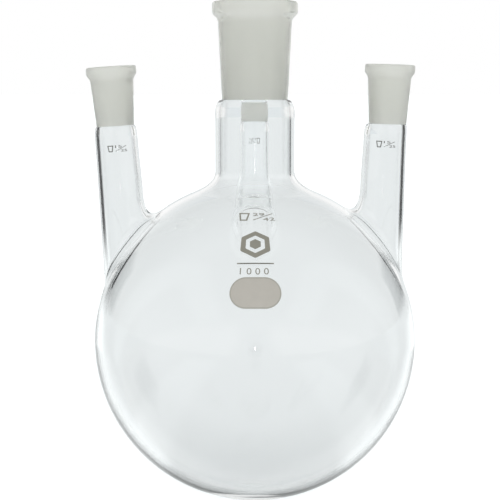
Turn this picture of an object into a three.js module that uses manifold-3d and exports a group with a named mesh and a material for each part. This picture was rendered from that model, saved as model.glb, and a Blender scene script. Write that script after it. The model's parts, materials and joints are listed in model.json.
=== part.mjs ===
// Four-neck round bottom flask, nominal 1000 mL, in borosilicate glass.
// A spherical bulb carries a central 29/42 ground socket and three slim 15/25 ground
// sockets, at the left, at the right and behind. Millimetres, +Z up. The origin is the
// lowest point of the bulb, and the printed face of the bulb looks along -Y.

import * as THREE from "three";
import { ParametricGeometry } from "three/addons/geometries/ParametricGeometry.js";
import { mergeVertices } from "three/addons/utils/BufferGeometryUtils.js";
import Module from "manifold-3d";

const wasm = await Module();
wasm.setup();

const radians = THREE.MathUtils.degToRad;

// Driving dimensions.
const BULB_RADIUS = 68;
const BULB_WALL = 1.8; // over the whole upper half
const LOWER_WALL_GAIN = 1.2; // the wall thickens towards the bottom by this much
const BOTTOM_GAIN = { thickness: 2, spread: radians(14) }; // and by a button at the lowest point
const SEAM_GAP = 0.3; // clearance between neighbouring pieces

const CENTER = {
  tubeTop: 16.6, // outside radius of the tube just under its shoulder
  tubeRadius: 16.6, // and where the flare leaves it
  tubeWall: 1.8,
  flareStart: 71.8, // height of the flare's top above the bulb's centre
  flareReach: 9, // how far the flare runs out over the bulb
  socketBottom: 101.8, // height of the seam above the bulb's centre
  shoulderHeight: 4.8,
  socketLength: 40,
  boreTop: 14.6, // 29.2 mm bore at the rim
  socketFoot: 13.75, // outside radius at the seam
  socketNeck: 15.3, // outside radius just under the bead
  beadRadius: 17.85,
  beadHeight: 8.2,
};

const SIDE = {
  tubeTop: 8.9,
  tubeRadius: 9.4,
  tubeWall: 1.6,
  shoulderHeight: 4.2,
  socketLength: 24.5,
  boreTop: 7.5, // 15.0 mm bore at the rim
  socketFoot: 7.8,
  socketNeck: 8.9,
  beadRadius: 10.45,
  beadHeight: 5.8,
};

const SIDE_OFFSET = 52.6; // distance from the bulb's centre to a side socket's axis
const BORE_TAPER = 0.05; // radius lost per millimetre: the 1:10 standard taper

// Where each side neck stands, and how far its tube is set in from its socket's axis. A
// flare's rise and reach are given on the neck's outward side, across it, and on the side
// that faces the central neck.
const LEFT = { azimuth: 180, lean: 3.64, rim: 118.9, inset: 0, rise: [3, 7, 12], reach: [1, 5, 7.5] };
const RIGHT = { azimuth: 0, lean: 1.82, rim: 117.9, inset: 0.75, rise: [9, 7, 13], reach: [1.5, 5, 7.5] };
const REAR = { azimuth: 90, lean: 3.0, rim: 118.4, inset: 0, rise: [6, 7, 13], reach: [1.5, 5, 8] };

const PATCH = { width: 19.6, height: 12.4, latitude: 26.4, lift: 0.3, thickness: 0.4 };
const BADGE = { radius: 6.4, band: 2.2, latitude: 43.9, lift: 0.3, thickness: 0.4 };

// Facets.
const BULB_SIDES = 48;
const UPPER_ARC_STEPS = 6; // from the central opening down to the bulb's widest ring
const LOWER_ARC_STEPS = 8; // from there to the lowest point
const CENTER_SIDES = 32;
const SIDE_SIDES = 28;
const PATCH_SIDES = 24;
const FLARE_STEPS = 5;
const SHOULDER_STEPS = 3;

const glass = { color: 0xdfe6e8, roughness: 0.03, metalness: 0, transparent: true, opacity: 0.35 };
const groundGlass = { color: 0xc6c7c2, roughness: 0.7, metalness: 0 };
const enamel = { color: 0xa9a69b, roughness: 0.55, metalness: 0 };

const flask = new THREE.Group();
const bulbFrame = new THREE.Group();
bulbFrame.position.z = BULB_RADIUS;
flask.add(bulbFrame);

const turns = (fraction) => fraction * 2 * Math.PI;

// Positions and triangles with shared vertices merged and collapsed triangles dropped.
function weld(geometry) {
  const bare = geometry.clone();
  bare.deleteAttribute("normal");
  bare.deleteAttribute("uv");
  const merged = mergeVertices(bare, 1e-4);
  const corners = merged.index.array;
  const kept = [];
  for (let i = 0; i < corners.length; i += 3) {
    const [a, b, c] = corners.slice(i, i + 3);
    if (a !== b && b !== c && c !== a) kept.push(a, b, c);
  }
  merged.setIndex(kept);
  return merged;
}

function toManifold(geometry) {
  const welded = weld(geometry);
  const vertProperties = new Float32Array(welded.attributes.position.array);
  const triVerts = new Uint32Array(welded.index.array);
  return new wasm.Manifold(new wasm.Mesh({ numProp: 3, vertProperties, triVerts }));
}

function fromManifold(solid) {
  const mesh = solid.getMesh();
  const geometry = new THREE.BufferGeometry();
  geometry.setAttribute("position", new THREE.BufferAttribute(mesh.vertProperties, 3));
  geometry.setIndex(new THREE.BufferAttribute(mesh.triVerts, 1));
  return geometry;
}

// A closed section in (radius, height) points, turned about the Z axis.
function turned(section, sides) {
  const loop = [...section, section[0]].map(([r, z]) => new THREE.Vector2(r, z));
  return weld(new THREE.LatheGeometry(loop, sides).rotateX(Math.PI / 2));
}

// A surface through rows of points, closed along the rows by the first point again.
function skinned(pointAt, sides, rows) {
  const place = (u, v, target) => target.copy(pointAt(turns(u % 1), Math.round(v * rows)));
  return weld(new ParametricGeometry(place, sides, rows));
}

function addPart(parent, name, geometry, look) {
  const shaded = geometry.toNonIndexed();
  shaded.computeVertexNormals();
  const mesh = new THREE.Mesh(shaded, new THREE.MeshStandardMaterial(look));
  mesh.name = name;
  parent.add(mesh);
}

// A value given on the outward side, across, and on the inward side of a neck, blended
// smoothly around the neck's axis.
function around([outward, across, inward], phi) {
  const c = Math.cos(phi);
  return across + ((outward - inward) / 2) * c + ((outward + inward) / 2 - across) * c * c;
}

// The point of the bulb's outer skin that lies a given distance off a neck's axis.
function onBulb(neck, phi, distance) {
  const x = neck.axisOffset + distance * Math.cos(phi);
  const y = distance * Math.sin(phi);
  return new THREE.Vector3(x, y, Math.sqrt(BULB_RADIUS ** 2 - x * x - y * y));
}

// The flare of a neck at one angle: a quadratic Bezier curve that leaves the tube's wall
// upright and lands on the bulb along its skin. Depth is measured in from the outer skin.
function flareCurve(neck, phi, tubeDepth, bulbDepth) {
  const radius = neck.tubeRadius - tubeDepth;
  const x = neck.axisOffset + radius * Math.cos(phi);
  const y = radius * Math.sin(phi);
  const seat = onBulb(neck, phi, neck.tubeRadius + around(neck.reach, phi));
  const normal = seat.clone().normalize();
  const landing = normal.clone().multiplyScalar(BULB_RADIUS - bulbDepth);
  const cornerZ = (BULB_RADIUS - bulbDepth - normal.x * x - normal.y * y) / normal.z;
  const corner = new THREE.Vector3(x, y, cornerZ);
  const top = new THREE.Vector3(x, y, flareTop(neck, phi));
  return new THREE.QuadraticBezierCurve3(top, corner, landing);
}

// Height at which the flare leaves the tube, the same for its outer and inner skins.
function flareTop(neck, phi) {
  const seat = onBulb(neck, phi, neck.tubeRadius + around(neck.reach, phi));
  const x = neck.axisOffset + neck.tubeRadius * Math.cos(phi);
  const y = neck.tubeRadius * Math.sin(phi);
  return (BULB_RADIUS ** 2 - seat.x * x - seat.y * y) / seat.z + around(neck.rise, phi);
}

// The shoulder under a socket is a quarter ellipse from the socket's foot to the tube, in
// steps of radius, height and distance from the tube's axis.
function shoulder(neck, footRadius, tubeTop) {
  const points = [];
  for (let i = 0; i <= SHOULDER_STEPS; i += 1) {
    const t = ((i / SHOULDER_STEPS) * Math.PI) / 2;
    const r = footRadius + (tubeTop - footRadius) * Math.sin(t);
    points.push([r, -neck.shoulderHeight * (1 - Math.cos(t)), neck.inset * (1 - Math.sin(t))]);
  }
  return points;
}

const footBore = (neck) => neck.boreTop - BORE_TAPER * neck.socketLength;

// A ground socket: a tapered bore in a tapered wall, under a thick flat-topped bead.
// Heights run down from zero at the rim.
function socketSection(neck) {
  const bead = neck.beadHeight;
  return [
    [neck.boreTop, 0],
    [neck.beadRadius - 0.5, 0],
    [neck.beadRadius, -0.4],
    [neck.beadRadius, -bead * 0.45],
    [neck.beadRadius - 0.35, -bead * 0.6],
    [neck.socketNeck + 0.4, -bead * 0.85],
    [neck.socketNeck, -bead],
    [neck.socketFoot, -neck.socketLength],
    [footBore(neck), -neck.socketLength],
  ].reverse();
}

// One skin of a neck below the seam: shoulder, plain tube, then the flare.
function neckSkin(neck, phi, tubeDepth, bulbDepth) {
  const foot = tubeDepth > 0 ? footBore(neck) : neck.socketFoot;
  const top = neck.seam - SEAM_GAP;
  const points = shoulder(neck, foot, neck.tubeTop - tubeDepth).map(([r, z, slide]) => {
    const x = neck.axisOffset + slide + r * Math.cos(phi);
    return new THREE.Vector3(x, r * Math.sin(phi), top + z);
  });
  return [...points, ...flareCurve(neck, phi, tubeDepth, bulbDepth).getPoints(FLARE_STEPS)];
}

// The whole neck below the seam as a closed sleeve around its axis.
function neckSleeve(neck, sides) {
  const columns = [];
  for (let i = 0; i < sides; i += 1) {
    const phi = turns(i / sides);
    const outer = neckSkin(neck, phi, 0, 0);
    const inner = neckSkin(neck, phi, neck.tubeWall, BULB_WALL).reverse();
    columns.push([...outer, ...inner, outer[0]].reverse());
  }
  const pointAt = (angle, row) => columns[Math.round((angle / turns(1)) * sides) % sides][row];
  return skinned(pointAt, sides, columns[0].length - 1);
}

// A plug with radial walls that opens the bulb for a neck, a seam gap beyond its flare.
function bulbOpening(neck, sides) {
  const shells = [BULB_RADIUS - 8, BULB_RADIUS + 8];
  const middle = onBulb(neck, 0, 0).normalize();
  const pointAt = (phi, row) => {
    if (row === 0) return middle.clone().multiplyScalar(shells[0]);
    if (row === 3) return middle.clone().multiplyScalar(shells[1]);
    const distance = neck.tubeRadius + around(neck.reach, phi) + SEAM_GAP;
    return onBulb(neck, phi, distance).normalize().multiplyScalar(shells[row - 1]);
  };
  return skinned(pointAt, sides, 3);
}

// Turns a piece from a side neck's own frame into the bulb's frame.
function placed(geometry, neck) {
  return geometry.rotateY(radians(neck.lean)).rotateZ(radians(neck.azimuth));
}

const centerNeck = {
  ...CENTER,
  axisOffset: 0,
  inset: 0,
  seam: CENTER.socketBottom,
  reach: [CENTER.flareReach, CENTER.flareReach, CENTER.flareReach],
};
const centerSeat = onBulb(centerNeck, 0, CENTER.tubeRadius + CENTER.flareReach);
const centerCorner = (BULB_RADIUS ** 2 - centerSeat.x * CENTER.tubeRadius) / centerSeat.z;
const centerRise = CENTER.flareStart - centerCorner;
centerNeck.rise = [centerRise, centerRise, centerRise];

function sideNeck(name, place) {
  const axisOffset = SIDE_OFFSET - place.inset;
  return { name, ...SIDE, ...place, axisOffset, seam: place.rim - SIDE.socketLength };
}

const sideNecks = [sideNeck("left", LEFT), sideNeck("right", RIGHT), sideNeck("rear", REAR)];

// Wall thickness of the bulb at an angle from straight up.
function wallAt(angle) {
  const below = Math.max(0, -Math.cos(angle));
  const button = Math.exp(-(((Math.PI - angle) / BOTTOM_GAIN.spread) ** 2));
  return BULB_WALL + LOWER_WALL_GAIN * below + BOTTOM_GAIN.thickness * button;
}

// The bulb: a spherical shell with one opening for each neck.
function bulbGeometry() {
  const edge = Math.asin((CENTER.tubeRadius + CENTER.flareReach + SEAM_GAP) / BULB_RADIUS);
  const angles = [];
  for (let i = 0; i < UPPER_ARC_STEPS; i += 1) {
    angles.push(edge + ((Math.PI / 2 - edge) * i) / UPPER_ARC_STEPS);
  }
  for (let i = 0; i <= LOWER_ARC_STEPS; i += 1) {
    angles.push(Math.PI / 2 + ((Math.PI / 2) * i) / LOWER_ARC_STEPS);
  }
  const across = (angle) => (angle === Math.PI ? 0 : Math.sin(angle));
  const at = (angle, radius) => [radius * across(angle), radius * Math.cos(angle)];
  const outer = angles.map((angle) => at(angle, BULB_RADIUS));
  const inner = angles.map((angle) => at(angle, BULB_RADIUS - wallAt(angle)));
  const section = [...inner, ...outer.reverse()];
  let shell = toManifold(turned(section, BULB_SIDES));
  for (const neck of sideNecks) {
    shell = shell.subtract(toManifold(placed(bulbOpening(neck, SIDE_SIDES), neck)));
  }
  return fromManifold(shell);
}

// Carries a point of a flat print (x across, y up, z out) onto the front of the bulb.
function onFront(print, x, y, z) {
  const middle = radians(print.latitude);
  const latitude = middle + y / BULB_RADIUS;
  const longitude = x / (BULB_RADIUS * Math.cos(middle));
  const radius = BULB_RADIUS + print.lift + z;
  const across = radius * Math.cos(latitude);
  const height = radius * Math.sin(latitude);
  return new THREE.Vector3(across * Math.sin(longitude), -across * Math.cos(longitude), height);
}

// The writing patch has straight long sides and round ends. Rings of points from its
// middle to its edge let it follow the bulb.
function patchGeometry() {
  const end = PATCH.height / 2;
  const straight = PATCH.width / 2 - end;
  const shares = [0, 0.35, 0.7, 1, 1, 0.7, 0.35, 0];
  const pointAt = (angle, row) => {
    const x = Math.sign(Math.round(Math.cos(angle) * 1e6)) * straight + end * Math.cos(angle);
    const z = row < shares.length / 2 ? 0 : PATCH.thickness;
    return onFront(PATCH, x * shares[row], end * Math.sin(angle) * shares[row], z);
  };
  return skinned(pointAt, PATCH_SIDES, shares.length - 1);
}

// A plain six-sided ring stands in the maker's place on the bulb.
function badgeGeometry() {
  const hexagon = (radius) => {
    const corners = [];
    for (let i = 0; i < 6; i += 1) {
      const angle = turns((i + 0.5) / 6);
      corners.push(new THREE.Vector2(radius * Math.cos(angle), radius * Math.sin(angle)));
    }
    return corners;
  };
  const outline = new THREE.Shape(hexagon(BADGE.radius));
  outline.holes.push(new THREE.Path(hexagon(BADGE.radius - BADGE.band)));
  const options = { depth: BADGE.thickness, bevelEnabled: false };
  const badge = new THREE.ExtrudeGeometry(outline, options);
  const points = badge.attributes.position;
  for (let i = 0; i < points.count; i += 1) {
    const wrapped = onFront(BADGE, points.getX(i), points.getY(i), points.getZ(i));
    points.setXYZ(i, wrapped.x, wrapped.y, wrapped.z);
  }
  return weld(badge);
}

function buildSocket(neck, sides) {
  return turned(socketSection(neck), sides).translate(neck.axisOffset + neck.inset, 0, 0);
}

addPart(bulbFrame, "bulb", bulbGeometry(), glass);

addPart(bulbFrame, "center_neck", neckSleeve(centerNeck, CENTER_SIDES), glass);
const centerRim = CENTER.socketBottom + CENTER.socketLength;
const centerSocket = buildSocket(centerNeck, CENTER_SIDES).translate(0, 0, centerRim);
addPart(bulbFrame, "center_socket", centerSocket, groundGlass);

for (const neck of sideNecks) {
  addPart(bulbFrame, `${neck.name}_neck`, placed(neckSleeve(neck, SIDE_SIDES), neck), glass);
  const socket = buildSocket(neck, SIDE_SIDES).translate(0, 0, neck.rim);
  addPart(bulbFrame, `${neck.name}_socket`, placed(socket, neck), groundGlass);
}

addPart(bulbFrame, "writing_patch", patchGeometry(), enamel);
addPart(bulbFrame, "hexagon_badge", badgeGeometry(), enamel);

export default flask;
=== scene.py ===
"""Looks of the four-neck round bottom flask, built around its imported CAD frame.

Shapes are worked out in millimetres about the centre of the bulb, as in the CAD, and
become metres when a piece is made. The printed face of the bulb looks along -Y.
"""

import json
import math

import bmesh
import bpy
import numpy as np
from mathutils.geometry import delaunay_2d_cdt
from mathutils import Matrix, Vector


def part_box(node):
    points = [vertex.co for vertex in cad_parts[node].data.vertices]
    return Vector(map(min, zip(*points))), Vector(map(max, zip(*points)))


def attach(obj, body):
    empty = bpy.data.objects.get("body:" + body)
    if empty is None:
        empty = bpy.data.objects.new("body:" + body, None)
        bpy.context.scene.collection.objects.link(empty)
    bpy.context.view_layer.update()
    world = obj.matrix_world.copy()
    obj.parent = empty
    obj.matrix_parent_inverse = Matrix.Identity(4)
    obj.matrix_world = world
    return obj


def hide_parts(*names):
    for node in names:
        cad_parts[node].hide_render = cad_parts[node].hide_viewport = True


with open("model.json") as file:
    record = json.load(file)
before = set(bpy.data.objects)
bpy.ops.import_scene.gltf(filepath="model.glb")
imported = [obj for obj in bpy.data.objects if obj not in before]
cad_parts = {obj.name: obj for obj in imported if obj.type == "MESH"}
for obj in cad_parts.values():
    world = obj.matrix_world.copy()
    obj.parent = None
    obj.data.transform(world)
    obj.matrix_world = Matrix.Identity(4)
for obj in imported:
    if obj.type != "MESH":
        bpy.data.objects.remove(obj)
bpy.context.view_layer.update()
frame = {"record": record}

MM = 0.001

# ------------------------------------------------------------------- driving dimensions
bulb_low, bulb_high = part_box("bulb")
BULB_RADIUS = round((bulb_high[0] - bulb_low[0]) / 2 / MM, 2)
BULB_CENTER = np.array([0.0, 0.0, BULB_RADIUS])
# The bulb's wall, how much it thickens downward, in a button at the bottom and to the
# left, and how far the button spreads.
BULB_WALL = 1.8
LOWER_WALL_GAIN = 1.2
BOTTOM_GAIN = 2.0
SIDEWAYS_GAIN = 0.35
BOTTOM_SPREAD = math.radians(14)
# How much a bore's radius narrows for each millimetre down.
BORE_TAPER = 0.05

# A socket's bead from its foot up: how far out from the socket's neck, then how far in
# from the bead's widest, each with its depth below the rim as a share of the bead.
BEAD_BELOW = ((0.0, 1.12), (0.02, 1.0), (0.35, 0.82))
BEAD_ABOVE = ((0.25, 0.6), (0.0, 0.45), (0.0, 0.12), (0.35, 0.0), (0.9, 0.0))
# The lip of the bore: how far out from the bore's top and how far below the rim.
LIP = ((0.55, 0.0), (0.05, 0.0), (-0.02, 0.5))

CENTER = {
    "tube_top": 16.6,
    "tube_radius": 16.6,
    "tube_wall": 1.8,
    "flare_start": 71.8,
    "reach": (9, 9, 9),
    "shoulder_height": 4.8,
    "hollow_height": 7.4,
    "socket_length": 40,
    "bore_top": 14.6,
    "socket_foot": 13.75,
    "socket_neck": 15.3,
    "bead_radius": 17.85,
    "bead_height": 8.2,
    "sides": 160,
}

SIDE = {
    "tube_top": 8.9,
    "tube_radius": 9.4,
    "tube_wall": 1.6,
    "shoulder_height": 4.2,
    "hollow_height": 4.9,
    "socket_length": 24.5,
    "bore_top": 7.5,
    "socket_foot": 7.8,
    "socket_neck": 8.9,
    "bead_radius": 10.45,
    "bead_height": 5.8,
    "sides": 112,
}

# How far each side tube is set in from its socket's axis, and the rise and reach of its
# flare: outward, across, and facing the central neck.
SIDE_FLARES = {
    "left": {"inset": 0.0, "rise": (3, 7, 12), "reach": (1, 5, 7.5)},
    "right": {"inset": 0.75, "rise": (9, 7, 13), "reach": (1.5, 5, 7.5)},
    "rear": {"inset": 0.0, "rise": (6, 7, 13), "reach": (1.5, 5, 8)},
}

# Shallow hollows that the glassblower's flame left in the bulb: direction, depth, and
# spread in radians.
DENTS = [((-0.972, 0.0, 0.235), 0.65, 0.095)]

# Steps of the glass meshes: as numbers, and over the bulb in degrees.
WALL_STEPS = 12
RIM_STEPS = 3
BORE_STEPS = 16
SHOULDER_STEPS = 10
TUBE_STEPS = 16
FLARE_STEPS = 24
BULB_STEP_DEG = 2.2
# Share of a step that the bulb's points keep clear of its openings.
EDGE_CLEARANCE = 0.6
# Points of a flat net that are nearer than this are one.
MERGE_DISTANCE = 1e-7

# ------------------------------------------------------------------ sizes of the prints
# Millimetres from the middle of a print, latitudes in degrees. A layer is the height of
# its underside and top over the glass, and a box is left, bottom, right and top.
LAYER = (0.01, 0.09)
RIM_LAYER = (0.01, 0.11)
PLATE_STEP = 1.2
PATCH = {"outline": (19.6, 12.4), "field": (18.6, 11.4), "latitude": 26.4}
# Hexagons as their radius and the radius of their corners, and the rule below as a bar.
BADGE = {
    "ring": (6.4, 0.8),
    "hole": (4.2, 0.5),
    "core": (2.4, 0.3),
    "rule": ((-6.3, -8.9), (6.3, -8.9), 0.5),
    "latitude": 43.9,
}
CAPACITY = {"text": "1 0 0 0", "box": (-5.9, -1.35, 5.1, 1.35), "latitude": 33.7}
BULB_JOINT = {"upper": "29", "lower": "42", "scale": 1.0, "shift": 0.4, "latitude": 56.1}
NECK_JOINT = {"upper": "15", "lower": "25", "scale": 0.58, "height": 85.2}
# Where a side neck's numbers look, in degrees, and how far they are shifted to the right.
NECK_NUMBERS = {"left": (-90, 1.1), "right": (-90, -0.6), "rear": (90, 0.0)}
# A joint's size at scale 1: the outline of a taper, two numbers and the stroke between.
TAPER_OUTSIDE = [(-2.6, 2.3), (-3.4, -2.3), (-6.2, -2.3), (-7.0, 2.3)]
TAPER_INSIDE = [(-3.3, 1.7), (-3.9, -1.7), (-5.7, -1.7), (-6.3, 1.7)]
UPPER_BOX = (-1.4, 0.55, 3.3, 2.3)
LOWER_BOX = (2.5, -2.3, 7.0, -0.55)
STROKE = {"start": (-1.2, -1.9), "end": (6.6, 1.9), "width": 0.34}

# ------------------------------------------------------------------------------ colours
GLASS_IOR = 1.473
GLASS_TINT = (0.985, 0.992, 0.994)
GROUND_TRANSMISSION = 0.78
# Ground glass: tint, then roughness from and to.
GROUND_GLASSES = {
    "ground_bore_glass": ((0.945, 0.95, 0.915), 0.72, 0.88),
    "frosted_joint_glass": ((0.94, 0.944, 0.906), 0.34, 0.46),
    "misted_joint_glass": ((0.91, 0.915, 0.875), 0.08, 0.16),
}
# Enamels: colour, its variation and the roughness.
ENAMELS = {
    "patch_enamel": ((0.53, 0.505, 0.455), 0.06, 0.6),
    "patch_outline_enamel": ((0.42, 0.41, 0.36), 0.05, 0.55),
    "mark_enamel": ((0.30, 0.29, 0.245), 0.08, 0.5),
    "number_enamel": ((0.10, 0.10, 0.085), 0.08, 0.5),
}
# How far that roughness falls and rises from speck to speck.
ENAMEL_SPECKS = (-0.08, 0.1)
FLOOR_GREY = 0.35
FLOOR_LIGHT = (0.95, 0.995, 1.0)
CARD_BLACK = 0.012

# ------------------------------------------------------------------ the studio's values
# Lengths in metres.
CAMERA = {"place": (-0.002045, -0.50544, 0.17372), "down_deg": 7.5946, "lens": 86.4, "sensor": 36}
CLIP = (0.01, 50)
GLASS_BOUNCES = 32
GLOSSY_BOUNCES = 16
SEAM_BOUNCES = 48
# Brightness of the studio by how far a direction looks back (0) or on past the flask (1).
ROOM_STOPS = [
    (0.0, (0.8, 0.82, 0.83, 1)),
    (0.006, (0.8, 0.82, 0.83, 1)),
    (0.03, (1.12, 1.12, 1.12, 1)),
    (0.45, (1.1, 1.1, 1.1, 1)),
    (0.68, (0.66, 0.66, 0.65, 1)),
    (0.84, (0.66, 0.66, 0.65, 1)),
    (0.91, (1.0, 1.0, 0.995, 1)),
    (0.985, (1.0, 1.0, 0.995, 1)),
    (0.996, (0.745, 0.785, 0.8, 1)),
    (1.0, (0.745, 0.785, 0.8, 1)),
]
# How the room dims overhead: from and to this height of a direction, down to this share.
OVERHEAD = (0.1, 0.7, 0.7)
# Glow of the floor to the glass far off, and to the camera.
FLOOR_GLOW = (0.6, 0.93)
# Nearer by, the floor glows by half the slope sideways from a point this far before the
# flask: a dim lane along the view, a bright strip at each side of it, then dimmer sides.
# The same lane runs towards the camera.
LANE_START = 0.1
LANE_STOPS = ((0.18, 0.6), (0.24, 0.9), (0.4, 0.9), (0.52, 0.55))
FAR_BEGINS = (0.5, 1.1)
FLOOR_SIZE = 80.0
# Black cards behind the flask's shoulders: the x and y of both ends.
CARDS = {
    "left_card": ((-0.132, 0.110), (-0.210, 0.080)),
    "right_card": ((0.171, 0.179), (0.230, 0.095)),
}
CARD_HEIGHTS = (0.070, 0.180)
# Heights over which the cards thicken from below and thin out above.
CARD_FADES = ((0.072, 0.100), (0.150, 0.178))
LAMP = {"place": (-0.004, -0.505, 0.118), "width": 0.004, "height": 0.02, "strength": 55.0}

mounts = {m["name"]: m for m in frame["record"]["mounts"]}


# ---------------------------------------------------------------------------- the necks
def neck_from_mount(name, sizes, flare):
    """A neck's sizes with its axis, read from the mount on its rim."""
    mount = mounts[f"{name}_rim"]
    axis = np.array(mount["axis"])
    rim = np.array(mount["pos_m"]) / MM - BULB_CENTER
    azimuth = math.atan2(axis[1], axis[0])
    lean = math.acos(min(1.0, axis[2]))
    outward = np.array(
        [math.cos(azimuth) * math.cos(lean), math.sin(azimuth) * math.cos(lean), -math.sin(lean)]
    )
    neck = {"inset": 0.0, **sizes, **flare, "name": name, "azimuth": azimuth, "lean": lean}
    neck["rim"] = float(rim @ axis)
    neck["axis_offset"] = float(rim @ outward) - neck["inset"] if lean > 1e-4 else 0.0
    neck["seam"] = neck["rim"] - neck["socket_length"]
    return neck


def placed(points, neck):
    """Turns points from a neck's own frame into the bulb's frame."""
    x, y, z = np.moveaxis(np.asarray(points, float), -1, 0)
    lean, azimuth = neck["lean"], neck["azimuth"]
    x, z = x * math.cos(lean) + z * math.sin(lean), z * math.cos(lean) - x * math.sin(lean)
    turned_x = x * math.cos(azimuth) - y * math.sin(azimuth)
    turned_y = x * math.sin(azimuth) + y * math.cos(azimuth)
    return np.stack([turned_x, turned_y, z], -1)


def unplaced(points, neck):
    """The way back from the bulb's frame into a neck's own frame."""
    x, y, z = np.moveaxis(np.asarray(points, float), -1, 0)
    lean, azimuth = neck["lean"], neck["azimuth"]
    x, y = x * math.cos(azimuth) + y * math.sin(azimuth), y * math.cos(azimuth) - x * math.sin(azimuth)
    return np.stack([x * math.cos(lean) - z * math.sin(lean), y, z * math.cos(lean) + x * math.sin(lean)], -1)


def around(values, phi):
    """A value given outward, across and inward of a neck, blended round its axis."""
    outward, across, inward = values
    c = np.cos(phi)
    return across + (outward - inward) / 2 * c + ((outward + inward) / 2 - across) * c * c


def unit(vectors):
    return vectors / np.linalg.norm(vectors, axis=-1, keepdims=True)


def wall_at(directions):
    """The bulb's wall thickness in a direction from its centre."""
    down = -directions[..., 2]
    from_bottom = np.arccos(np.clip(down, -1, 1))
    button = np.exp(-((from_bottom / BOTTOM_SPREAD) ** 2))
    sideways = -SIDEWAYS_GAIN * directions[..., 0] * (1 - np.clip(-down, 0, 1))
    return BULB_WALL + LOWER_WALL_GAIN * np.clip(down, 0, 1) + BOTTOM_GAIN * button + sideways


def bulb_skin(directions, inner):
    """Points of the bulb's outer or inner skin in the given directions."""
    radius = np.full(directions.shape[:-1], BULB_RADIUS)
    for toward, depth, spread in DENTS:
        away = np.arccos(np.clip(directions @ unit(np.array(toward)), -1, 1))
        radius = radius - depth * np.exp(-((away / spread) ** 2))
    if inner:
        radius = radius - wall_at(directions)
    return directions * radius[..., None]


def bulb_normals(directions, inner):
    """Outward normals of a bulb skin, by small steps along it."""
    step = 1e-4
    helper = np.where(np.abs(directions[..., 2:3]) < 0.9, [0.0, 0.0, 1.0], [1.0, 0.0, 0.0])
    first = unit(np.cross(directions, helper))
    second = np.cross(directions, first)
    points = bulb_skin(directions, inner)
    along = bulb_skin(unit(directions + step * first), inner) - points
    across = bulb_skin(unit(directions + step * second), inner) - points
    return unit(np.cross(along, across))


def seat_directions(neck, phi):
    """Directions from the bulb's centre to where a flare lands, in the bulb's frame."""
    distance = neck["tube_radius"] + around(neck["reach"], phi)
    x = neck["axis_offset"] + distance * np.cos(phi)
    y = distance * np.sin(phi)
    z = np.sqrt(BULB_RADIUS**2 - x * x - y * y)
    return unit(placed(np.stack([x, y, z], -1), neck))


def flare_rings(neck, phi, depth, inner, steps):
    """Rings of a flare's skin, from the tube down to the bulb, in the neck's own frame."""
    radius = neck["tube_radius"] - depth
    x = neck["axis_offset"] + radius * np.cos(phi)
    y = radius * np.sin(phi)
    directions = seat_directions(neck, phi)
    seat = unplaced(bulb_skin(directions, inner), neck)
    normal = unplaced(bulb_normals(directions, inner), neck)
    corner_z = seat[:, 2] - (normal[:, 0] * (x - seat[:, 0]) + normal[:, 1] * (y - seat[:, 1])) / normal[:, 2]
    corner = np.stack([x, y, corner_z], -1)
    top = np.stack([x, y, flare_top(neck, phi)], -1)
    t = np.linspace(0, 1, steps + 1)[:, None, None]
    return list((1 - t) ** 2 * top + 2 * t * (1 - t) * corner + t * t * seat)


def flare_top(neck, phi):
    """Height at which a flare leaves the tube, in the neck's own frame."""
    x = neck["axis_offset"] + neck["tube_radius"] * np.cos(phi)
    y = neck["tube_radius"] * np.sin(phi)
    seat = unplaced(seat_directions(neck, phi) * BULB_RADIUS, neck)
    corner = (BULB_RADIUS**2 - seat[:, 0] * x - seat[:, 1] * y) / seat[:, 2]
    return corner + around(neck["rise"], phi)


# ------------------------------------------------------------------------ mesh builders
def make_piece(name, points, faces, normals, slots, materials):
    """A closed mesh from points in millimetres about the bulb's centre, with a normal for
    each face corner and a material slot for each face."""
    mesh = bpy.data.meshes.new(name)
    in_metres = (np.asarray(points) + BULB_CENTER) * MM
    mesh.from_pydata(in_metres.tolist(), [], faces)
    for material in materials:
        mesh.materials.append(material)
    mesh.polygons.foreach_set("material_index", slots)
    mesh.polygons.foreach_set("use_smooth", [True] * len(faces))
    mesh.update()
    mesh.normals_split_custom_set([tuple(n) for n in normals])
    piece = bpy.data.objects.new(name, mesh)
    bpy.context.scene.collection.objects.link(piece)
    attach(piece, "root")
    return piece


def ring_normals(rings):
    """Normals of a skin given as rings, outward for rings that run down an outside."""
    rings = np.array(rings)
    around_ring = np.roll(rings, -1, axis=1) - np.roll(rings, 1, axis=1)
    along = np.gradient(rings, axis=0, edge_order=2 if len(rings) > 2 else 1)
    return unit(np.cross(along, around_ring))


def make_sleeve(name, skins, materials, end_normals=()):
    """A closed sleeve from skins, each (rings, material slot). The last ring of a skin is
    the first of the next, and the last skin closes on the first."""
    points, corner_normals, faces, slots = [], [], [], []
    start = 0
    total = sum(len(rings) - 1 for rings, _ in skins)
    for index, (rings, slot) in enumerate(skins):
        normals = ring_normals(rings)
        for skin, row, values in end_normals:
            if skin == index:
                normals[row] = values
        sides = len(rings[0])
        points.extend(rings[:-1])
        for i in range(len(rings) - 1):
            upper, lower = start + i, (start + i + 1) % total
            for j in range(sides):
                k = (j + 1) % sides
                faces.append((upper * sides + j, lower * sides + j, lower * sides + k, upper * sides + k))
                slots.append(slot)
                corner_normals.extend([normals[i][j], normals[i + 1][j], normals[i + 1][k], normals[i][k]])
        start += len(rings) - 1
    return make_piece(name, np.concatenate(points), faces, corner_normals, slots, materials)


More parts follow.
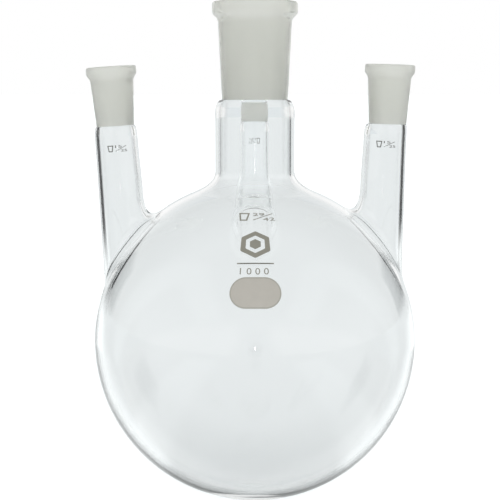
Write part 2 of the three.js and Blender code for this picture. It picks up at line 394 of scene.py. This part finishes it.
def turned_rings(neck, section):
    """Rings about a socket's axis from (radius, height) pairs, or about an axis that lies
    nearer to its tube's, from (radius, height, distance from the tube's axis)."""
    phi = neck_angles(neck)
    rings = []
    for radius, height, *slide in section:
        from_tube = slide[0] if slide else neck["inset"]
        x = neck["axis_offset"] + from_tube + radius * np.cos(phi)
        rings.append(placed(np.stack([x, radius * np.sin(phi), np.full_like(phi, height)], -1), neck))
    return rings


def neck_angles(neck):
    return np.arange(neck["sides"]) / neck["sides"] * 2 * math.pi


def rounded(corners, rounds=4):
    """A smooth line through a few corners, by cutting each corner again and again."""
    line = [np.array(c, float) for c in corners]
    for _ in range(rounds):
        cut = [line[0]]
        for a, b in zip(line, line[1:]):
            cut.extend([a * 0.75 + b * 0.25, a * 0.25 + b * 0.75])
        line = [*cut, line[-1]]
    return line


def spread_line(start, end, steps):
    """Evenly spaced (radius, height) pairs from start to end."""
    return [np.array(start) + (np.array(end) - np.array(start)) * i / steps for i in range(steps + 1)]


# --------------------------------------------------------------------- the glass pieces
def eased_tube(neck, top, bottom):
    """Rings that carry a tube from just under its shoulder to its flare."""
    start, end = unplaced(top, neck), unplaced(bottom, neck)
    rings = []
    for i in range(1, TUBE_STEPS):
        share = i / TUBE_STEPS
        eased = (1 - math.cos(math.pi * share)) / 2
        across = start[:, :2] + (end[:, :2] - start[:, :2]) * eased
        height = start[:, 2:] + (end[:, 2:] - start[:, 2:]) * share
        rings.append(placed(np.concatenate([across, height], axis=1), neck))
    return rings


def build_neck(neck, glass, seam):
    """Shoulder, tube and flare of one neck, with seam faces that light passes through."""
    phi = neck_angles(neck)
    foot_bore = neck["bore_top"] - BORE_TAPER * neck["socket_length"]

    def skin(foot, depth, inner):
        drop = neck["hollow_height"] if inner else neck["shoulder_height"]
        section = []
        for i in range(SHOULDER_STEPS + 1):
            t = i / SHOULDER_STEPS * math.pi / 2
            radius = foot + (neck["tube_top"] - depth - foot) * math.sin(t)
            height = neck["seam"] - drop * (1 - math.cos(t))
            section.append((radius, height, neck["inset"] * (1 - math.sin(t))))
        rings = turned_rings(neck, section)
        flare = [placed(ring, neck) for ring in flare_rings(neck, phi, depth, inner, FLARE_STEPS)]
        return [*rings, *eased_tube(neck, rings[-1], flare[0]), *flare]

    outer = skin(neck["socket_foot"], 0, False)
    inner = skin(foot_bore, neck["tube_wall"], True)[::-1]
    directions = seat_directions(neck, phi)
    skins = [
        (outer, 0),
        ([outer[-1], inner[0]], 1),
        (inner, 0),
        ([inner[-1], outer[0]], 1),
    ]
    ends = [
        (0, -1, bulb_normals(directions, False)),
        (2, 0, -bulb_normals(directions, True)),
    ]
    return make_sleeve(f"{neck['name']}_neck_glass", skins, [glass, seam], ends)


def build_socket(neck, coat, ground, seam):
    """A ground socket: outside and bead in a given coat, ground bore, seam face below."""
    rim, seam_height, bore = neck["rim"], neck["seam"], neck["bore_top"]
    bead, radius, narrow = neck["bead_height"], neck["bead_radius"], neck["socket_neck"]
    foot_bore = bore - BORE_TAPER * neck["socket_length"]
    below = [(narrow + out, rim - bead * share) for out, share in BEAD_BELOW]
    above = [(radius - back, rim - bead * share) for back, share in BEAD_ABOVE]
    lip_corners = [(bore + out, rim - down) for out, down in LIP]
    wall = spread_line((neck["socket_foot"], seam_height), below[0], WALL_STEPS)
    bead_line = rounded([*below, *above])
    top = spread_line(above[-1], lip_corners[0], RIM_STEPS)
    lip = rounded(lip_corners, 3)
    bore_line = spread_line(lip_corners[-1], (foot_bore, seam_height), BORE_STEPS)
    outside = [*wall, *bead_line[1:], *top[1:], *lip[1:]]
    skins = [
        (turned_rings(neck, outside)[::-1], 0),
        (turned_rings(neck, [bore_line[-1], wall[0]])[::-1], 2),
        (turned_rings(neck, bore_line)[::-1], 1),
    ]
    return make_sleeve(f"{neck['name']}_socket_glass", skins, [coat, ground, seam])


def bulb_points(necks):
    """Directions spread evenly over the bulb, clear of its openings."""
    step = math.radians(BULB_STEP_DEG)
    spots = []
    rows = int(math.pi / step)
    for row in range(rows + 1):
        tilt = math.pi * row / rows
        count = max(1, round(2 * math.pi * math.sin(tilt) / step))
        for i in range(count):
            turn = 2 * math.pi * (i + 0.5 * (row % 2)) / count
            spots.append((math.sin(tilt) * math.cos(turn), math.sin(tilt) * math.sin(turn), math.cos(tilt)))
    spots = np.array(spots)
    keep = np.ones(len(spots), bool)
    for neck in necks:
        keep &= off_opening(spots, neck) > EDGE_CLEARANCE * step * BULB_RADIUS
    return spots[keep]


def off_opening(directions, neck):
    """How far, in millimetres, a direction's point lies outside a neck's opening."""
    local = unplaced(directions * BULB_RADIUS, neck)
    x = local[:, 0] - neck["axis_offset"]
    distance = np.hypot(x, local[:, 1])
    edge = neck["tube_radius"] + around(neck["reach"], np.arctan2(local[:, 1], x))
    return np.where(local[:, 2] > 0, distance - edge, BULB_RADIUS)


def build_bulb(necks, glass, seam):
    """The blown bulb: two skins with openings whose edges meet the flares exactly."""
    edges, rims = [], []
    spots = bulb_points(necks)
    count = len(spots)
    directions = [spots]
    for neck in necks:
        ring = seat_directions(neck, neck_angles(neck))
        index = np.arange(count, count + len(ring))
        rims.append(index)
        edges.extend(zip(index.tolist(), np.roll(index, -1).tolist()))
        directions.append(ring)
        count += len(ring)
    directions = np.concatenate(directions)
    flat = directions[:, :2] / (1 - directions[:, 2:3])
    result = delaunay_2d_cdt([tuple(p) for p in flat], edges, [], 0, MERGE_DISTANCE)
    triangles = np.array(result[2])
    if len(result[0]) != count:
        raise RuntimeError("the bulb's opening edges cross")
    middles = unit(directions[triangles].mean(axis=1))
    for neck in necks:
        outside = off_opening(middles, neck) > 0
        triangles, middles = triangles[outside], middles[outside]
    a, b, c = (directions[triangles[:, i]] for i in range(3))
    flip = np.einsum("ij,ij->i", np.cross(b - a, c - a), a) < 0
    triangles[flip] = triangles[flip][:, ::-1]
    outer_n, inner_n = bulb_normals(directions, False), bulb_normals(directions, True)
    points = np.concatenate([bulb_skin(directions, False), bulb_skin(directions, True)])
    faces = [tuple(t) for t in triangles.tolist()]
    faces += [tuple(t) for t in (triangles[:, ::-1] + count).tolist()]
    normals = [*outer_n[triangles].reshape(-1, 3), *(-inner_n[triangles[:, ::-1]]).reshape(-1, 3)]
    slots = [0] * len(faces)
    for ring in rims:
        for i, j in zip(ring.tolist(), np.roll(ring, -1).tolist()):
            face = (i, j, j + count, i + count)
            corners = points[list(face)]
            normal = unit(np.cross(corners[1] - corners[0], corners[3] - corners[0]))
            faces.append(face)
            normals.extend([normal] * 4)
            slots.append(1)
    return make_piece("bulb_glass", points, faces, normals, slots, [glass, seam])


# ---------------------------------------------------------------------------- materials
def new_material(name):
    material = bpy.data.materials.new(name)
    material.use_nodes = True
    tree = material.node_tree
    tree.nodes.clear()
    return material, tree


def add_node(tree, kind, **values):
    node = tree.nodes.new(kind)
    for key, value in values.items():
        if key in node.inputs:
            node.inputs[key].default_value = value
        else:
            setattr(node, key, value)
    return node


def smooth_step(tree, span, values):
    """A smooth change between two values over a span of the input."""
    step = add_node(tree, "ShaderNodeMapRange", interpolation_type="SMOOTHSTEP")
    step.inputs["From Min"].default_value, step.inputs["From Max"].default_value = span
    step.inputs["To Min"].default_value, step.inputs["To Max"].default_value = values
    return step


def clear_glass():
    """Borosilicate glass with the faint waviness of blown work."""
    material, tree = new_material("clear_borosilicate")
    out = add_node(tree, "ShaderNodeOutputMaterial")
    shader = add_node(tree, "ShaderNodeBsdfPrincipled")
    shader.inputs["Base Color"].default_value = (*GLASS_TINT, 1)
    shader.inputs["Roughness"].default_value = 0.0
    shader.inputs["IOR"].default_value = GLASS_IOR
    shader.inputs["Transmission Weight"].default_value = 1.0
    place = add_node(tree, "ShaderNodeTexCoord")
    waves = add_node(tree, "ShaderNodeTexNoise", Scale=38.0, Detail=1.5)
    bump = add_node(tree, "ShaderNodeBump", Strength=0.06, Distance=0.0006)
    tree.links.new(place.outputs["Object"], waves.inputs["Vector"])
    tree.links.new(waves.outputs["Fac"], bump.inputs["Height"])
    tree.links.new(bump.outputs["Normal"], shader.inputs["Normal"])
    tree.links.new(shader.outputs[0], out.inputs["Surface"])
    return material


def ground_glass(name):
    """Finely ground glass, with faint turning marks from the lap."""
    tint, rough_low, rough_high = GROUND_GLASSES[name]
    material, tree = new_material(name)
    out = add_node(tree, "ShaderNodeOutputMaterial")
    shader = add_node(tree, "ShaderNodeBsdfPrincipled")
    shader.inputs["Base Color"].default_value = (*tint, 1)
    shader.inputs["IOR"].default_value = GLASS_IOR
    shader.inputs["Transmission Weight"].default_value = GROUND_TRANSMISSION
    place = add_node(tree, "ShaderNodeTexCoord")
    stretch = add_node(tree, "ShaderNodeMapping")
    stretch.inputs["Scale"].default_value = (1.0, 1.0, 9.0)
    marks = add_node(tree, "ShaderNodeTexNoise", Scale=220.0, Detail=3.0)
    grain = add_node(tree, "ShaderNodeTexNoise", Scale=5200.0, Detail=2.0)
    rough = add_node(tree, "ShaderNodeMapRange")
    rough.inputs["To Min"].default_value = rough_low
    rough.inputs["To Max"].default_value = rough_high
    bump = add_node(tree, "ShaderNodeBump", Strength=0.35, Distance=0.00004)
    tree.links.new(place.outputs["Object"], stretch.inputs["Vector"])
    tree.links.new(stretch.outputs[0], marks.inputs["Vector"])
    tree.links.new(place.outputs["Object"], grain.inputs["Vector"])
    tree.links.new(marks.outputs["Fac"], rough.inputs["Value"])
    tree.links.new(rough.outputs[0], shader.inputs["Roughness"])
    tree.links.new(grain.outputs["Fac"], bump.inputs["Height"])
    tree.links.new(bump.outputs["Normal"], shader.inputs["Normal"])
    tree.links.new(shader.outputs[0], out.inputs["Surface"])
    return material


def fused_seam():
    """Where two pieces are fused there is no surface left, so light goes straight on."""
    material, tree = new_material("fused_seam")
    out = add_node(tree, "ShaderNodeOutputMaterial")
    shader = add_node(tree, "ShaderNodeBsdfTransparent")
    tree.links.new(shader.outputs[0], out.inputs["Surface"])
    return material


# -------------------------------------------------------------------- the enamel prints
def lettering(text, box):
    """Numbers as flat solids: corners as (x, y, side) with x and y filling a box."""
    curve = bpy.data.curves.new("numbers", "FONT")
    curve.body = text
    curve.extrude = 0.5
    curve.resolution_u = 4
    holder = bpy.data.objects.new("numbers", curve)
    mesh = bpy.data.meshes.new_from_object(holder)
    bpy.data.objects.remove(holder)
    shape = bmesh.new()
    shape.from_mesh(mesh)
    bmesh.ops.remove_doubles(shape, verts=shape.verts, dist=1e-5)
    bmesh.ops.triangulate(shape, faces=shape.faces)
    points = np.array([v.co for v in shape.verts])
    faces = [tuple(v.index for v in f.verts) for f in shape.faces]
    shape.free()
    bpy.data.meshes.remove(mesh)
    low, high = points.min(axis=0), points.max(axis=0)
    x0, y0, x1, y1 = box
    flat = (points[:, :2] - low[:2]) / (high[:2] - low[:2]) * [x1 - x0, y1 - y0] + [x0, y0]
    return np.column_stack([flat, np.sign(points[:, 2])]), faces


def plate(outline, holes=()):
    """A flat solid with holes, from its outline, as corners (x, y, side) and faces."""
    loops = [outline, *holes]
    flat = np.concatenate(loops)
    edges, start = [], 0
    for loop in loops:
        ring = list(range(start, start + len(loop)))
        edges.extend(zip(ring, ring[1:] + ring[:1]))
        start += len(loop)
    grid = lattice(flat.min(axis=0), flat.max(axis=0), loops)
    spots = [tuple(p) for p in np.concatenate([flat, grid])]
    result = delaunay_2d_cdt(spots, edges, [], 0, MERGE_DISTANCE)
    points = np.array([tuple(p) for p in result[0]])
    faces = [f for f in result[2] if inside(points[list(f)].mean(axis=0), loops)]
    count = len(points)
    front = [tuple(f) if turn(points[list(f)]) > 0 else tuple(f)[::-1] for f in faces]
    back = [tuple(i + count for i in f[::-1]) for f in front]
    sides = set()
    for f in front:
        for i, j in zip(f, f[1:] + f[:1]):
            if (j, i) in sides:
                sides.remove((j, i))
            else:
                sides.add((i, j))
    walls = [(j, i, i + count, j + count) for i, j in sorted(sides)]
    both = np.concatenate([points, points])
    side = np.repeat([1.0, -1.0], count)
    return np.column_stack([both, side]), [*front, *back, *walls]


def lattice(low, high, loops):
    """Inner points of a plate, so that it can follow a curved surface."""
    xs = np.arange(low[0] + PLATE_STEP / 2, high[0], PLATE_STEP)
    ys = np.arange(low[1] + PLATE_STEP / 2, high[1], PLATE_STEP)
    spots = [np.array([x, y]) for x in xs for y in ys]
    edge = np.concatenate(loops)
    kept = [s for s in spots if inside(s, loops) and np.hypot(*(edge - s).T).min() > PLATE_STEP / 3]
    return np.array(kept).reshape(-1, 2)


def inside(point, loops):
    """Whether a point is within the first loop and outside of the others."""
    crossings = 0
    for loop in loops:
        for a, b in zip(loop, np.roll(loop, -1, axis=0)):
            if (a[1] > point[1]) != (b[1] > point[1]):
                at = a[0] + (point[1] - a[1]) / (b[1] - a[1]) * (b[0] - a[0])
                crossings += at > point[0]
    return crossings % 2 == 1


def turn(corners):
    a, b, c = corners[:3]
    return (b[0] - a[0]) * (c[1] - a[1]) - (b[1] - a[1]) * (c[0] - a[0])


def bar(start, end, width):
    """A straight stroke of a print."""
    start, end = np.array(start, float), np.array(end, float)
    along = (end - start) / np.linalg.norm(end - start)
    across = np.array([-along[1], along[0]]) * width / 2
    return plate(np.array([start - across, end - across, end + across, start + across]))


def stadium(width, height, sides=32):
    """Outline of a stadium."""
    radius = height / 2
    half = width / 2 - radius
    angles = np.linspace(-math.pi / 2, math.pi / 2, sides + 1)
    right = np.column_stack([half + radius * np.cos(angles), radius * np.sin(angles)])
    return np.concatenate([right, -right])


def hexagon(radius, corner, steps=6):
    """Outline of a hexagon with rounded corners, one corner up."""
    points = []
    for i in range(6):
        middle = (i + 0.5) * math.pi / 3
        center = (radius - corner / math.cos(math.pi / 6)) * np.array([math.cos(middle), math.sin(middle)])
        for k in range(steps + 1):
            angle = middle - math.pi / 6 + k / steps * math.pi / 3
            points.append(center + corner * np.array([math.cos(angle), math.sin(angle)]))
    return np.array(points)


def on_bulb(points, latitude, layer):
    """Lays a print on the front of the bulb, as a layer from bottom to top."""
    x, y, side = points.T
    radius = BULB_RADIUS + np.where(side > 0, layer[1], layer[0])
    lat = latitude + y / BULB_RADIUS
    lon = x / (BULB_RADIUS * math.cos(latitude))
    flat = radius * np.cos(lat)
    return np.column_stack([flat * np.sin(lon), -flat * np.cos(lon), radius * np.sin(lat)])


def on_neck(points, neck, facing, height, layer):
    """Lays a print on a neck's tube, round the side that looks in a world direction."""
    x, y, side = points.T
    radius = neck["tube_radius"] + np.where(side > 0, layer[1], layer[0])
    angle = facing - neck["azimuth"] + x / neck["tube_radius"]
    across = neck["axis_offset"] + radius * np.cos(angle)
    return placed(np.column_stack([across, radius * np.sin(angle), height + y]), neck)


def make_print(name, parts, materials):
    """One piece from (points, faces, material slot), flat shaded at its edges."""
    points, faces, slots = [], [], []
    start = 0
    for part_points, part_faces, slot in parts:
        points.append(part_points)
        faces.extend(tuple(i + start for i in f) for f in part_faces)
        slots.extend([slot] * len(part_faces))
        start += len(part_points)
    points = np.concatenate(points)
    normals = []
    for f in faces:
        corners = points[list(f)]
        normal = unit(np.cross(corners[1] - corners[0], corners[2] - corners[0]))
        normals.extend([normal] * len(f))
    return make_piece(name, points, faces, normals, slots, materials)


def joint_size(joint):
    """The two numbers of a joint's size on either side of a slanted stroke, after the
    plain outline of a taper."""
    scale = joint["scale"]
    outside, inner = np.array(TAPER_OUTSIDE) * scale, np.array(TAPER_INSIDE) * scale
    upper, lower = (tuple(scale * v for v in box) for box in (UPPER_BOX, LOWER_BOX))
    start, end = np.array(STROKE["start"]) * scale, np.array(STROKE["end"]) * scale
    return [
        plate(outside, [inner]),
        lettering(joint["upper"], upper),
        lettering(joint["lower"], lower),
        bar(start, end, STROKE["width"] * scale),
    ]


def enamel(name):
    """Fired enamel: a slightly uneven, thinly speckled coat."""
    color, variation, roughness = ENAMELS[name]
    material, tree = new_material(name)
    out = add_node(tree, "ShaderNodeOutputMaterial")
    shader = add_node(tree, "ShaderNodeBsdfPrincipled")
    place = add_node(tree, "ShaderNodeTexCoord")
    cloud = add_node(tree, "ShaderNodeTexNoise", Scale=240.0, Detail=4.0)
    speck = add_node(tree, "ShaderNodeTexNoise", Scale=2600.0, Detail=2.0)
    blend = add_node(tree, "ShaderNodeMix", data_type="RGBA")
    blend.inputs["A"].default_value = (*[c * (1 - variation) for c in color], 1)
    blend.inputs["B"].default_value = (*[min(1, c * (1 + variation)) for c in color], 1)
    rough = add_node(tree, "ShaderNodeMapRange")
    rough.inputs["To Min"].default_value = roughness + ENAMEL_SPECKS[0]
    rough.inputs["To Max"].default_value = roughness + ENAMEL_SPECKS[1]
    bump = add_node(tree, "ShaderNodeBump", Strength=0.25, Distance=0.00003)
    tree.links.new(place.outputs["Object"], cloud.inputs["Vector"])
    tree.links.new(place.outputs["Object"], speck.inputs["Vector"])
    tree.links.new(cloud.outputs["Fac"], blend.inputs["Factor"])
    tree.links.new(blend.outputs["Result"], shader.inputs["Base Color"])
    tree.links.new(speck.outputs["Fac"], rough.inputs["Value"])
    tree.links.new(rough.outputs[0], shader.inputs["Roughness"])
    tree.links.new(speck.outputs["Fac"], bump.inputs["Height"])
    tree.links.new(bump.outputs["Normal"], shader.inputs["Normal"])
    tree.links.new(shader.outputs[0], out.inputs["Surface"])
    return material


def build_patch():
    """The writing patch: a pale field in a slightly darker outline."""
    outline, field = stadium(*PATCH["outline"]), stadium(*PATCH["field"])
    border, border_faces = plate(outline, [field])
    middle, middle_faces = plate(field)
    latitude = math.radians(PATCH["latitude"])
    parts = [
        (on_bulb(border, latitude, RIM_LAYER), border_faces, 1),
        (on_bulb(middle, latitude, LAYER), middle_faces, 0),
    ]
    enamels = [enamel("patch_enamel"), enamel("patch_outline_enamel")]
    patch = make_print("writing_patch_enamel", parts, enamels)
    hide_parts("writing_patch")


def build_badge(ink):
    """A plain hexagon ring round a smaller hexagon, above a rule."""
    latitude = math.radians(BADGE["latitude"])
    ring = plate(hexagon(*BADGE["ring"]), [hexagon(*BADGE["hole"])])
    shapes = [ring, plate(hexagon(*BADGE["core"])), bar(*BADGE["rule"])]
    parts = [(on_bulb(points, latitude, LAYER), faces, 0) for points, faces in shapes]
    badge = make_print("hexagon_badge_enamel", parts, [ink])
    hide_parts("hexagon_badge")


def build_bulb_numbers(ink):
    """The capacity and the central joint's size, in numbers only."""
    points, faces = lettering(CAPACITY["text"], CAPACITY["box"])
    parts = [(on_bulb(points, math.radians(CAPACITY["latitude"]), LAYER), faces, 0)]
    latitude = math.radians(BULB_JOINT["latitude"])
    for points, faces in joint_size(BULB_JOINT):
        moved = points + [BULB_JOINT["shift"], 0, 0]
        parts.append((on_bulb(moved, latitude, LAYER), faces, 0))
    numbers = make_print("bulb_numbers", parts, [ink])
    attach(numbers, "root")


def build_neck_numbers(neck, ink):
    """The joint's size on a side neck."""
    facing, shift = NECK_NUMBERS[neck["name"]]
    parts = []
    for points, faces in joint_size(NECK_JOINT):
        moved = points + [shift, 0, 0]
        laid = on_neck(moved, neck, math.radians(facing), NECK_JOINT["height"], LAYER)
        parts.append((laid, faces, 0))
    numbers = make_print(f"{neck['name']}_numbers", parts, [ink])


# --------------------------------------------------------------------------- the studio
def build_camera():
    """The photo's camera, upright and tilted slightly down."""
    camera = bpy.data.objects.new("camera", bpy.data.cameras.new("camera"))
    camera.data.sensor_width = CAMERA["sensor"]
    camera.data.lens = CAMERA["lens"]
    camera.data.clip_start, camera.data.clip_end = CLIP
    camera.location = CAMERA["place"]
    camera.rotation_euler = (math.radians(90 - CAMERA["down_deg"]), 0, 0)
    bpy.context.scene.collection.objects.link(camera)
    bpy.context.scene.camera = camera


def build_world():
    """A white sweep to the camera. The glass sees a dimmer patch straight behind the
    flask, a bright ring and a dim one round it, and towards the camera a bright room
    with a dimmer patch in its middle."""
    world = bpy.data.worlds.new("studio")
    bpy.context.scene.world = world
    world.use_nodes = True
    tree = world.node_tree
    tree.nodes.clear()
    out = add_node(tree, "ShaderNodeOutputWorld")
    place = add_node(tree, "ShaderNodeTexCoord")
    parts = add_node(tree, "ShaderNodeSeparateXYZ")
    ramp = add_node(tree, "ShaderNodeValToRGB")
    stops = ramp.color_ramp
    stops.interpolation = "EASE"
    stops.elements[0].position, stops.elements[0].color = ROOM_STOPS[0]
    stops.elements[1].position, stops.elements[1].color = ROOM_STOPS[-1]
    for position, color in ROOM_STOPS[1:-1]:
        stops.elements.new(position).color = color
    span = add_node(tree, "ShaderNodeMapRange")
    span.inputs["From Min"].default_value = -1
    overhead = smooth_step(tree, OVERHEAD[:2], (1.0, OVERHEAD[2]))
    room = add_node(tree, "ShaderNodeBackground")
    sweep = add_node(tree, "ShaderNodeBackground", Color=(1, 1, 1, 1))
    path = add_node(tree, "ShaderNodeLightPath")
    pick = add_node(tree, "ShaderNodeMixShader")
    tree.links.new(place.outputs["Generated"], parts.inputs[0])
    tree.links.new(parts.outputs["Y"], span.inputs["Value"])
    tree.links.new(span.outputs[0], ramp.inputs["Fac"])
    tree.links.new(ramp.outputs["Color"], room.inputs["Color"])
    tree.links.new(parts.outputs["Z"], overhead.inputs["Value"])
    tree.links.new(overhead.outputs[0], room.inputs["Strength"])
    tree.links.new(path.outputs["Is Camera Ray"], pick.inputs["Fac"])
    tree.links.new(room.outputs[0], pick.inputs[1])
    tree.links.new(sweep.outputs[0], pick.inputs[2])
    tree.links.new(pick.outputs[0], out.inputs["Surface"])


def flat_stage(name, corners, material):
    """A four-cornered piece of the studio, corners in metres."""
    mesh = bpy.data.meshes.new(name)
    mesh.from_pydata(corners, [], [(0, 1, 2, 3)])
    mesh.materials.append(material)
    panel = bpy.data.objects.new(name, mesh)
    bpy.context.scene.collection.objects.link(panel)
    return panel


def build_floor():
    """A pale table that the camera sees just at white, apart from the contact shadow.
    The glass sees it dimmer, in a lane and strips that run along the view."""
    material, tree = new_material("pale_floor")
    out = add_node(tree, "ShaderNodeOutputMaterial")
    paper = add_node(tree, "ShaderNodeBsdfDiffuse", Color=(FLOOR_GREY, FLOOR_GREY, FLOOR_GREY, 1))
    lift = add_node(tree, "ShaderNodeEmission", Color=(*FLOOR_LIGHT, 1))
    place = add_node(tree, "ShaderNodeTexCoord")
    parts = add_node(tree, "ShaderNodeSeparateXYZ")
    side = add_node(tree, "ShaderNodeMath", operation="ABSOLUTE")
    ahead = add_node(tree, "ShaderNodeMath", operation="ABSOLUTE")
    depth = add_node(tree, "ShaderNodeMath", operation="MULTIPLY_ADD")
    depth.inputs[1].default_value = 2.0
    depth.inputs[2].default_value = 2.0 * LANE_START
    slope = add_node(tree, "ShaderNodeMath", operation="DIVIDE")
    beside = add_node(tree, "ShaderNodeValToRGB")
    shades = beside.color_ramp.elements
    while len(shades) < len(LANE_STOPS):
        shades.new(1.0)
    for shade, (position, tone) in zip(shades, LANE_STOPS):
        shade.position, shade.color = position, (tone, tone, tone, 1)
    far = smooth_step(tree, FAR_BEGINS, (0.0, 1.0))
    fade = add_node(tree, "ShaderNodeMix")
    fade.inputs["B"].default_value = FLOOR_GLOW[0]
    path = add_node(tree, "ShaderNodeLightPath")
    pick = add_node(tree, "ShaderNodeMix")
    pick.inputs["B"].default_value = FLOOR_GLOW[1]
    both = add_node(tree, "ShaderNodeAddShader")
    tree.links.new(place.outputs["Object"], parts.inputs[0])
    tree.links.new(parts.outputs["X"], side.inputs[0])
    tree.links.new(parts.outputs["Y"], ahead.inputs[0])
    tree.links.new(ahead.outputs[0], depth.inputs[0])
    tree.links.new(side.outputs[0], slope.inputs[0])
    tree.links.new(depth.outputs[0], slope.inputs[1])
    tree.links.new(slope.outputs[0], beside.inputs["Fac"])
    tree.links.new(ahead.outputs[0], far.inputs["Value"])
    tree.links.new(far.outputs[0], fade.inputs["Factor"])
    tree.links.new(beside.outputs[0], fade.inputs["A"])
    tree.links.new(path.outputs["Is Camera Ray"], pick.inputs["Factor"])
    tree.links.new(fade.outputs["Result"], pick.inputs["A"])
    tree.links.new(pick.outputs["Result"], lift.inputs["Strength"])
    tree.links.new(paper.outputs[0], both.inputs[0])
    tree.links.new(lift.outputs[0], both.inputs[1])
    tree.links.new(both.outputs[0], out.inputs["Surface"])
    half = FLOOR_SIZE / 2
    flat_stage("floor", [(-half, -half, 0), (half, -half, 0), (half, half, 0), (-half, half, 0)], material)


def build_cards():
    """Black cards just out of the picture, which draw the dark lines in the side necks.
    They thin out to clear film above and below."""
    material, tree = new_material("black_card")
    out = add_node(tree, "ShaderNodeOutputMaterial")
    black = add_node(tree, "ShaderNodeBsdfDiffuse", Color=(CARD_BLACK, CARD_BLACK, CARD_BLACK, 1))
    film = add_node(tree, "ShaderNodeBsdfTransparent")
    place = add_node(tree, "ShaderNodeTexCoord")
    parts = add_node(tree, "ShaderNodeSeparateXYZ")
    below = smooth_step(tree, CARD_FADES[0], (0.0, 1.0))
    above = smooth_step(tree, CARD_FADES[1], (1.0, 0.0))
    cover = add_node(tree, "ShaderNodeMath", operation="MULTIPLY")
    card = add_node(tree, "ShaderNodeMixShader")
    tree.links.new(place.outputs["Object"], parts.inputs[0])
    tree.links.new(parts.outputs["Z"], below.inputs["Value"])
    tree.links.new(parts.outputs["Z"], above.inputs["Value"])
    tree.links.new(below.outputs[0], cover.inputs[0])
    tree.links.new(above.outputs[0], cover.inputs[1])
    tree.links.new(cover.outputs[0], card.inputs["Fac"])
    tree.links.new(film.outputs[0], card.inputs[1])
    tree.links.new(black.outputs[0], card.inputs[2])
    tree.links.new(card.outputs[0], out.inputs["Surface"])
    low, high = CARD_HEIGHTS
    for name, (start, end) in CARDS.items():
        corners = [(*start, low), (*end, low), (*end, high), (*start, high)]
        panel = flat_stage(name, corners, material)
        panel.visible_camera = False
        panel.visible_shadow = False
        panel.visible_diffuse = False


def build_lamp():
    """The small lamp below the lens that leaves sharp white glints on the glass."""
    material, tree = new_material("lamp")
    out = add_node(tree, "ShaderNodeOutputMaterial")
    shader = add_node(tree, "ShaderNodeEmission", Strength=LAMP["strength"])
    tree.links.new(shader.outputs[0], out.inputs["Surface"])
    x, y, z = LAMP["place"]
    w, h = LAMP["width"] / 2, LAMP["height"] / 2
    corners = [(x + w, y, z - h), (x - w, y, z - h), (x - w, y, z + h), (x + w, y, z + h)]
    lamp = flat_stage("lamp", corners, material)
    lamp.visible_camera = False
    lamp.visible_shadow = False


# ----------------------------------------------------------------------------- assembly
def central_neck():
    """The central neck, whose flare is equal all round and starts at a set height."""
    neck = neck_from_mount("center", CENTER, {})
    seat = seat_directions(neck, np.zeros(1))[0] * BULB_RADIUS
    corner = (BULB_RADIUS**2 - seat[0] * CENTER["tube_radius"]) / seat[2]
    neck["rise"] = (CENTER["flare_start"] - corner,) * 3
    return neck


def build_glass(center, sides):
    """The bulb, then the tube and the socket of every neck."""
    glass, seam = clear_glass(), fused_seam()
    ground = ground_glass("ground_bore_glass")
    frost = ground_glass("frosted_joint_glass")
    mist = ground_glass("misted_joint_glass")
    necks = [center, *sides]
    bulb = build_bulb(necks, glass, seam)
    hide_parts("bulb")
    for neck in necks:
        tube = build_neck(neck, glass, seam)
        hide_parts(f"{neck['name']}_neck")
        coat = mist if neck is center else frost
        socket = build_socket(neck, coat, ground, seam)
        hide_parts(f"{neck['name']}_socket")


def build_prints(sides):
    """The patch, the badge, and the numbers on the bulb and the side necks."""
    ink, fine_ink = enamel("mark_enamel"), enamel("number_enamel")
    build_patch()
    build_badge(ink)
    build_bulb_numbers(ink)
    for neck in sides:
        build_neck_numbers(neck, fine_ink)


def set_light_paths():
    """Plain tones, and enough bounces for light to pass every wall of the glass."""
    scene = bpy.context.scene
    scene.view_settings.view_transform = "Standard"
    scene.cycles.max_bounces = GLASS_BOUNCES
    scene.cycles.transmission_bounces = GLASS_BOUNCES
    scene.cycles.glossy_bounces = GLOSSY_BOUNCES
    scene.cycles.transparent_max_bounces = SEAM_BOUNCES


build_camera()
side_necks = [neck_from_mount(name, SIDE, flare) for name, flare in SIDE_FLARES.items()]
build_glass(central_neck(), side_necks)
build_prints(side_necks)
build_world()
build_floor()
build_cards()
build_lamp()
set_light_paths()
